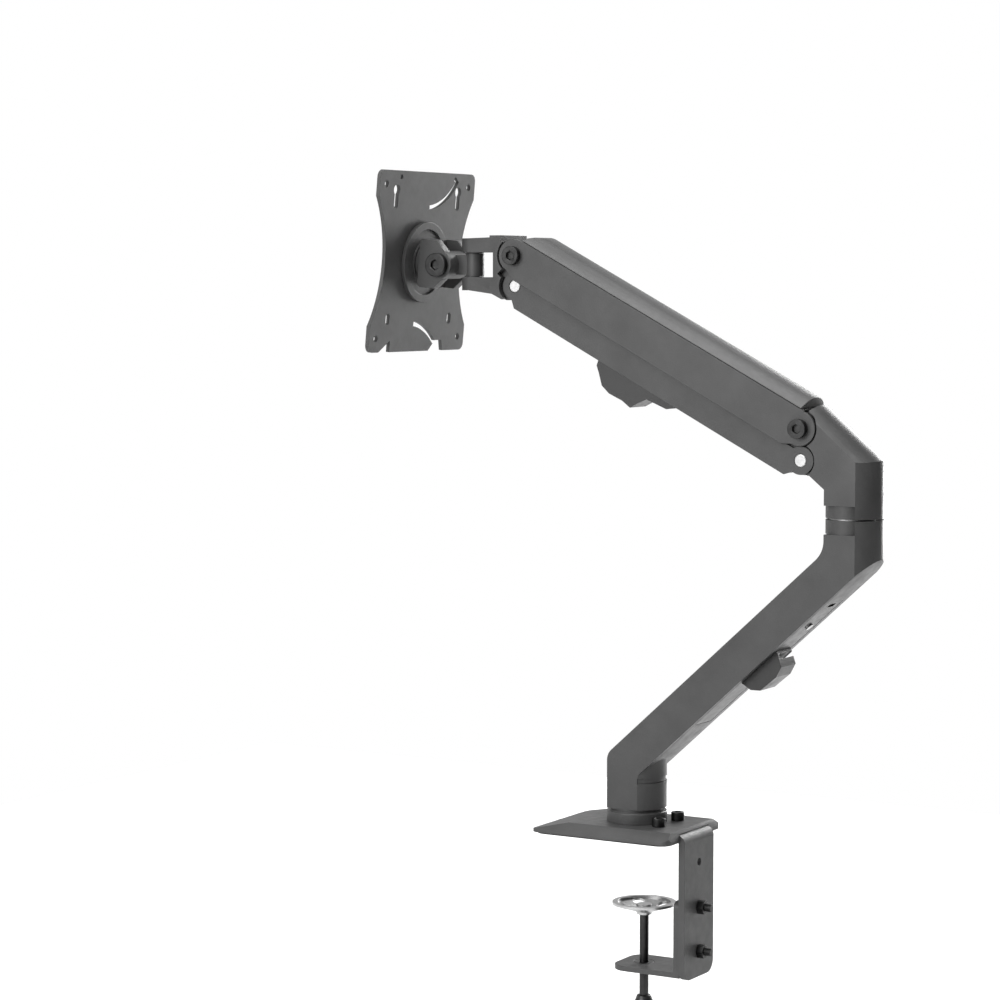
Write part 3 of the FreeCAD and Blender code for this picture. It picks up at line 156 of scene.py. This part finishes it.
def moulding(name, tone, rough, grain):
    """Moulded plastic with a spark-eroded grain."""
    resin = Finish(name, rough)
    resin.colour(resin.noise(30.0, 3.0), [(0.35, tone * 0.9), (0.65, tone * 1.1)])
    resin.gloss(resin.noise(220.0, 3.0), rough - 0.04, rough + 0.05)
    resin.bump(resin.noise(grain, 2.0), 0.3, 0.00007)
    return resin.material


def soft_pad(name, tone):
    """Closed-cell rubber."""
    rubber = Finish(name, 0.85, specular=0.3)
    rubber.colour(rubber.noise(120.0, 4.0), [(0.3, tone * 0.8), (0.7, tone * 1.3)])
    rubber.bump(rubber.noise(1400.0, 3.0), 0.5, 0.00015)
    return rubber.material


FINISHES = {
    "dark_coat": powder_coat("dark powder coat", 0.044, 0.46),
    "dark_cast": powder_coat("dark coated casting", 0.042, 0.42),
    "cover_shell": moulding("satin cover shell", 0.040, 0.42, 1500.0),
    "black_steel": metal("black oxide steel", 0.045, 0.03, 0.4, (1.0, 1.0, 1.0)),
    "bright_steel": metal("zinc plated steel", 0.46, 0.36, 0.36, (1.0, 1.0, 6.0)),
    "black_plastic": moulding("black moulded plastic", 0.009, 0.40, 2200.0),
    "washer_plastic": moulding("bearing plastic", 0.04, 0.5, 1800.0),
    "bush_brass": metal("turned bush brass", (0.78, 0.58, 0.28), (0.66, 0.47, 0.2), 0.3, (1.0, 1.0, 8.0)),
    "pad_rubber": soft_pad("pad rubber", 0.02),
}
for node, thing in NODES.items():
    thing.data.materials.clear()
    thing.data.materials.append(FINISHES[SLOT_OF[node]])


# ---------------------------------------------------------------- making pieces
FLAT_WITHIN = 0.6                   # degrees: facets this close to one plane are joined
SHARP_CORNER = 38.0                 # degrees: corners sharper than this are broken
EASE_SEGMENTS = 2
EDGE_BREAK_MM = {
    "lower_arm": 0.7, "elbow_bracket": 0.5, "main_link": 0.4, "lower_link": 0.4, "head_bracket": 0.5,
    "swivel_yoke": 0.4, "tilt_head": 0.6, "vesa_plate": 0.35, "base_plate": 0.5, "clamp_bracket": 0.6,
    "lower_jaw": 0.6, "link_cover": 0.5, "underside_cover": 0.3, "lower_cable_clip": 0.9,
    "upper_cable_clip": 0.9, "rear_pivot_bolts": 0.5, "front_pivot_bolts": 0.5, "tilt_bolt": 0.7,
    "rear_pivot_pins": 0.6, "front_pivot_pins": 0.6, "bracket_screws": 0.5, "jaw_nuts": 0.4,
    "jaw_bolts": 0.3, "tilt_nut": 0.4, "rotation_disc": 0.3, "base_pad": 0.2, "strut_tube": 0.4,
    "base_collar": 0.3, "jaw_thread_nut": 0.4, "hub_bolt": 0.5, "swivel_pin": 0.4, "tension_screw": 0.4,
    "strut_bridge": 0.3, "clamp_pad_disc": 0.35,
}


def shade(mesh, angle):
    """Smooth the round faces, and keep every corner sharper than the angle crisp."""
    for face in mesh.polygons:
        face.use_smooth = True
    work = bmesh.new()
    work.from_mesh(mesh)
    for edge in work.edges:
        edge.smooth = len(edge.link_faces) == 2 and edge.calc_face_angle(0.0) < math.radians(angle)
    work.to_mesh(mesh)
    work.free()


def finish_piece(name, work, slot, body, stands_for, angle=20.0):
    """Close a bmesh into a named piece that rides on a body."""
    mesh = bpy.data.meshes.new(name)
    work.to_mesh(mesh)
    work.free()
    shade(mesh, angle)
    mesh.materials.append(FINISHES[slot])
    piece = bpy.data.objects.new(name, mesh)
    bpy.context.scene.collection.objects.link(piece)
    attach(piece, body)
    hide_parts(*stands_for)


def eased(node, width):
    """The node's own shape with its sharp corners broken, as casting, bending and coating leave them."""
    work = bmesh.new()
    work.from_mesh(NODES[node].data)
    bmesh.ops.remove_doubles(work, verts=work.verts, dist=MERGE_WITHIN)
    bmesh.ops.dissolve_limit(work, angle_limit=math.radians(FLAT_WITHIN), verts=work.verts, edges=work.edges,
                             delimit=set())
    sharp = [edge for edge in work.edges
             if len(edge.link_faces) == 2 and edge.calc_face_angle(0.0) > math.radians(SHARP_CORNER)]
    bmesh.ops.bevel(work, geom=sharp, offset=width * MM, offset_type="OFFSET", segments=EASE_SEGMENTS,
                    profile=0.5, affect="EDGES", clamp_overlap=True, material=-1, loop_slide=True)
    finish_piece(node + "_eased", work, SLOT_OF[node], BODY_OF[node], (node,))


def turned(profile, steps):
    """A closed body of revolution about Z: (radius, height) pairs in millimetres, from axis to axis."""
    work = bmesh.new()
    line = [work.verts.new((radius * MM, 0.0, height * MM)) for radius, height in profile]
    edges = [work.edges.new(pair) for pair in zip(line, line[1:])]
    bmesh.ops.spin(work, geom=line + edges, cent=(0.0, 0.0, 0.0), axis=(0.0, 0.0, 1.0), angle=math.tau,
                   steps=steps, use_merge=True)
    bmesh.ops.remove_doubles(work, verts=work.verts, dist=MERGE_WITHIN)
    bmesh.ops.recalc_face_normals(work, faces=work.faces)
    return work


def arc(middle_r, middle_z, radius, start, stop, count=6):
    """Points of a round stretch of a profile, in degrees from the radius axis."""
    return [(middle_r + radius * math.cos(math.radians(start + (stop - start) * step / count)),
             middle_z + radius * math.sin(math.radians(start + (stop - start) * step / count)))
            for step in range(count + 1)]


def build_knob():
    """A six-lobed clamp knob with a waisted neck and a softened foot, in millimetres."""
    low, high = (Vector(corner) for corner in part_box("clamp_knob"))
    reach = (high.y - low.y) / 2 / MM
    tall = (high.z - low.z) / MM
    neck, neck_round = 4.7, 0.9
    foot_round, crown_round, crown_start = 2.2, 2.6, 9.4
    lobes, lobe_depth, lobe_shape = 6.0, 0.13, 1.6
    fade_from, fade_over = 9.0, 5.0
    around = 120
    profile = ([(0.0, 0.0), (reach - 4.0, 0.0)] + arc(reach - foot_round, foot_round, foot_round, -90.0, 0.0)
               + arc(reach - crown_round, crown_start, crown_round, 0.0, 90.0)
               + [(10.2, 12.4), (8.6, 13.6), (7.4, 16.0), (6.1, 20.0)]
               + arc(neck - neck_round, tall - neck_round, neck_round, 0.0, 90.0) + [(0.0, tall)])
    work = turned(profile, around)
    for vert in work.verts:
        turn = math.atan2(vert.co.y, vert.co.x)
        deep = max(0.0, 1.0 - max(0.0, vert.co.z / MM - fade_from) / fade_over)
        hollow = 1.0 - lobe_depth * deep * (0.5 - 0.5 * math.cos(lobes * turn)) ** lobe_shape
        vert.co.x *= hollow
        vert.co.y *= hollow
    bmesh.ops.translate(work, verts=work.verts, vec=(0.0, (low.y + high.y) / 2, low.z))
    finish_piece("knob_lobed", work, "black_plastic", "clamp_screw", ("clamp_knob",), 40.0)


for node, width in EDGE_BREAK_MM.items():
    eased(node, width)
build_knob()


# ---------------------------------------------------------------- stage
KNOB_DROP = 0.032                   # room under the knob for the clamp screw's full travel down
FLOOR_HALF = 1.0
LIGHT_AIM = (0.0, 0.0, 0.15)
BRIGHT_SIDE, DIM_SIDE = 0.7, 0.05   # strength of the surroundings towards -Y and towards +Y
DIM_FROM = 0.75                     # how far towards +Y they have faded to the dim side
VIEW_TURN, VIEW_RISE = 30.92, 4.3   # degrees
VIEW_LENS = 105.8
VIEW_STAND = (1.6397, 0.8800, 0.3530)


def build_stage():
    work = bmesh.new()
    bmesh.ops.create_grid(work, x_segments=1, y_segments=1, size=FLOOR_HALF)
    bmesh.ops.translate(work, verts=work.verts, vec=(0.0, 0.0, cad_low[2] - KNOB_DROP))
    mesh = bpy.data.meshes.new("floor")
    work.to_mesh(mesh)
    work.free()
    pale = Finish("pale floor", 0.7, specular=0.2)
    pale.colour(pale.noise(3.0), [(0.3, 0.86), (0.7, 0.9)])
    mesh.materials.append(pale.material)
    floor = bpy.data.objects.new("floor", mesh)
    bpy.context.scene.collection.objects.link(floor)


def soft_box(name, at, size, watts):
    lamp = bpy.data.lights.new(name, "AREA")
    lamp.shape = "RECTANGLE"
    lamp.size, lamp.size_y = size
    lamp.energy = watts
    thing = bpy.data.objects.new(name, lamp)
    thing.matrix_world = Matrix.Translation(Vector(at)) @ (
        Vector(at) - Vector(LIGHT_AIM)).to_track_quat("Z", "Y").to_matrix().to_4x4()
    bpy.context.scene.collection.objects.link(thing)


def build_surroundings():
    """Plain white to look at, and softly brighter on one side of the arm than on the other."""
    world = bpy.data.worlds.new("studio")
    world.use_nodes = True
    tree = world.node_tree
    tree.nodes["Background"].inputs[0].default_value = (1.0, 1.0, 1.0, 1.0)
    ray = tree.nodes.new("ShaderNodeLightPath")
    way = tree.nodes.new("ShaderNodeTexCoord")
    split = tree.nodes.new("ShaderNodeSeparateXYZ")
    tree.links.new(way.outputs["Generated"], split.inputs[0])
    side = tree.nodes.new("ShaderNodeMapRange")
    side.inputs["From Min"].default_value = 0.0
    side.inputs["From Max"].default_value = DIM_FROM
    side.inputs["To Min"].default_value = BRIGHT_SIDE
    side.inputs["To Max"].default_value = DIM_SIDE
    tree.links.new(split.outputs["Y"], side.inputs["Value"])
    level = tree.nodes.new("ShaderNodeMath")
    level.operation = "MAXIMUM"
    tree.links.new(ray.outputs["Is Camera Ray"], level.inputs[0])
    tree.links.new(side.outputs["Result"], level.inputs[1])
    tree.links.new(level.outputs[0], tree.nodes["Background"].inputs[1])
    bpy.context.scene.world = world


def build_light():
    soft_box("overhead", (0.3, 0.2, 1.7), (1.6, 1.6), 34.0)
    soft_box("behind", (-1.9, 0.1, 0.6), (0.7, 1.4), 40.0)
    soft_box("camera_side", (1.9, -0.5, 0.9), (1.2, 1.2), 34.0)


def build_camera():
    lens = bpy.data.cameras.new("view")
    lens.sensor_width = 36.0
    lens.lens = VIEW_LENS
    lens.clip_end = 50.0
    turn, rise = math.radians(VIEW_TURN), math.radians(VIEW_RISE)
    back = Vector((math.cos(turn) * math.cos(rise), math.sin(turn) * math.cos(rise), math.sin(rise)))
    right = Vector((-math.sin(turn), math.cos(turn), 0.0))
    up = back.cross(right)
    stand = Matrix((right, up, back)).transposed().to_4x4()
    stand.translation = VIEW_STAND
    camera = bpy.data.objects.new("view", lens)
    camera.matrix_world = stand
    bpy.context.scene.collection.objects.link(camera)
    bpy.context.scene.camera = camera


build_stage()
build_surroundings()
build_light()
build_camera()
bpy.context.scene.view_settings.view_transform = "Standard"
